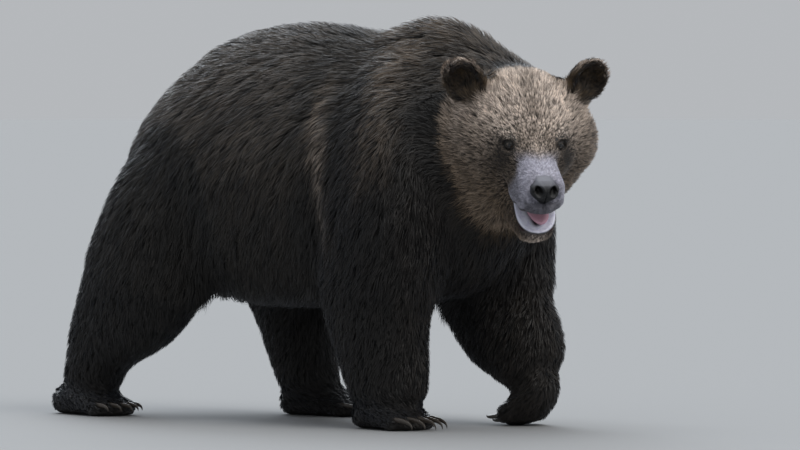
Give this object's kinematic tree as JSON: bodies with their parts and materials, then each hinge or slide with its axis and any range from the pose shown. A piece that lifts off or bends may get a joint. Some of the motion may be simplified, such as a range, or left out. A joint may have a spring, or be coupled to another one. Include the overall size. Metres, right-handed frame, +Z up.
{
  "type": "brown bear",
  "caption": "Life-size still model of a walking adult brown bear with its head turned to the right and its mouth slightly open.",
  "frame": {"origin": "on the floor, under the middle of the box around the bear", "axes": "the bear walks towards -Y, its left side is +X, +Z is up"},
  "size_m": [0.691, 1.9001, 1.171],
  "materials": {
    "brown_coat": "dark brown shaggy fur",
    "grizzled_coat": "short fur with pale tips",
    "claw_horn": "smooth dark horn",
    "nose_leather": "moist black skin",
    "tongue_flesh": "moist pink flesh",
    "dark_eye": "wet dark brown eye"
  },
  "bodies": {
    "root": {"claw_fore_left_1": "claw_horn", "claw_fore_left_2": "claw_horn", "claw_fore_left_3": "claw_horn", "claw_fore_left_4": "claw_horn", "claw_fore_left_5": "claw_horn", "claw_fore_right_1": "claw_horn", "claw_fore_right_2": "claw_horn", "claw_fore_right_3": "claw_horn", "claw_fore_right_4": "claw_horn", "claw_fore_right_5": "claw_horn", "claw_hind_left_1": "claw_horn", "claw_hind_left_2": "claw_horn", "claw_hind_left_3": "claw_horn", "claw_hind_left_4": "claw_horn", "claw_hind_left_5": "claw_horn", "claw_hind_right_1": "claw_horn", "claw_hind_right_2": "claw_horn", "claw_hind_right_3": "claw_horn", "claw_hind_right_4": "claw_horn", "claw_hind_right_5": "claw_horn", "ear_left": "grizzled_coat", "ear_right": "grizzled_coat", "eye_left": "dark_eye", "eye_right": "dark_eye", "fore_left_foot": "brown_coat", "fore_left_lower": "brown_coat", "fore_left_upper": "brown_coat", "fore_right_foot": "brown_coat", "fore_right_lower": "brown_coat", "fore_right_upper": "brown_coat", "head": "grizzled_coat", "hind_left_foot": "brown_coat", "hind_left_lower": "brown_coat", "hind_left_upper": "brown_coat", "hind_right_foot": "brown_coat", "hind_right_lower": "brown_coat", "hind_right_upper": "brown_coat", "jaw": "grizzled_coat", "neck": "brown_coat", "nose": "nose_leather", "tail": "brown_coat", "tongue": "tongue_flesh", "trunk": "brown_coat"}
  },
  "joints": []
}
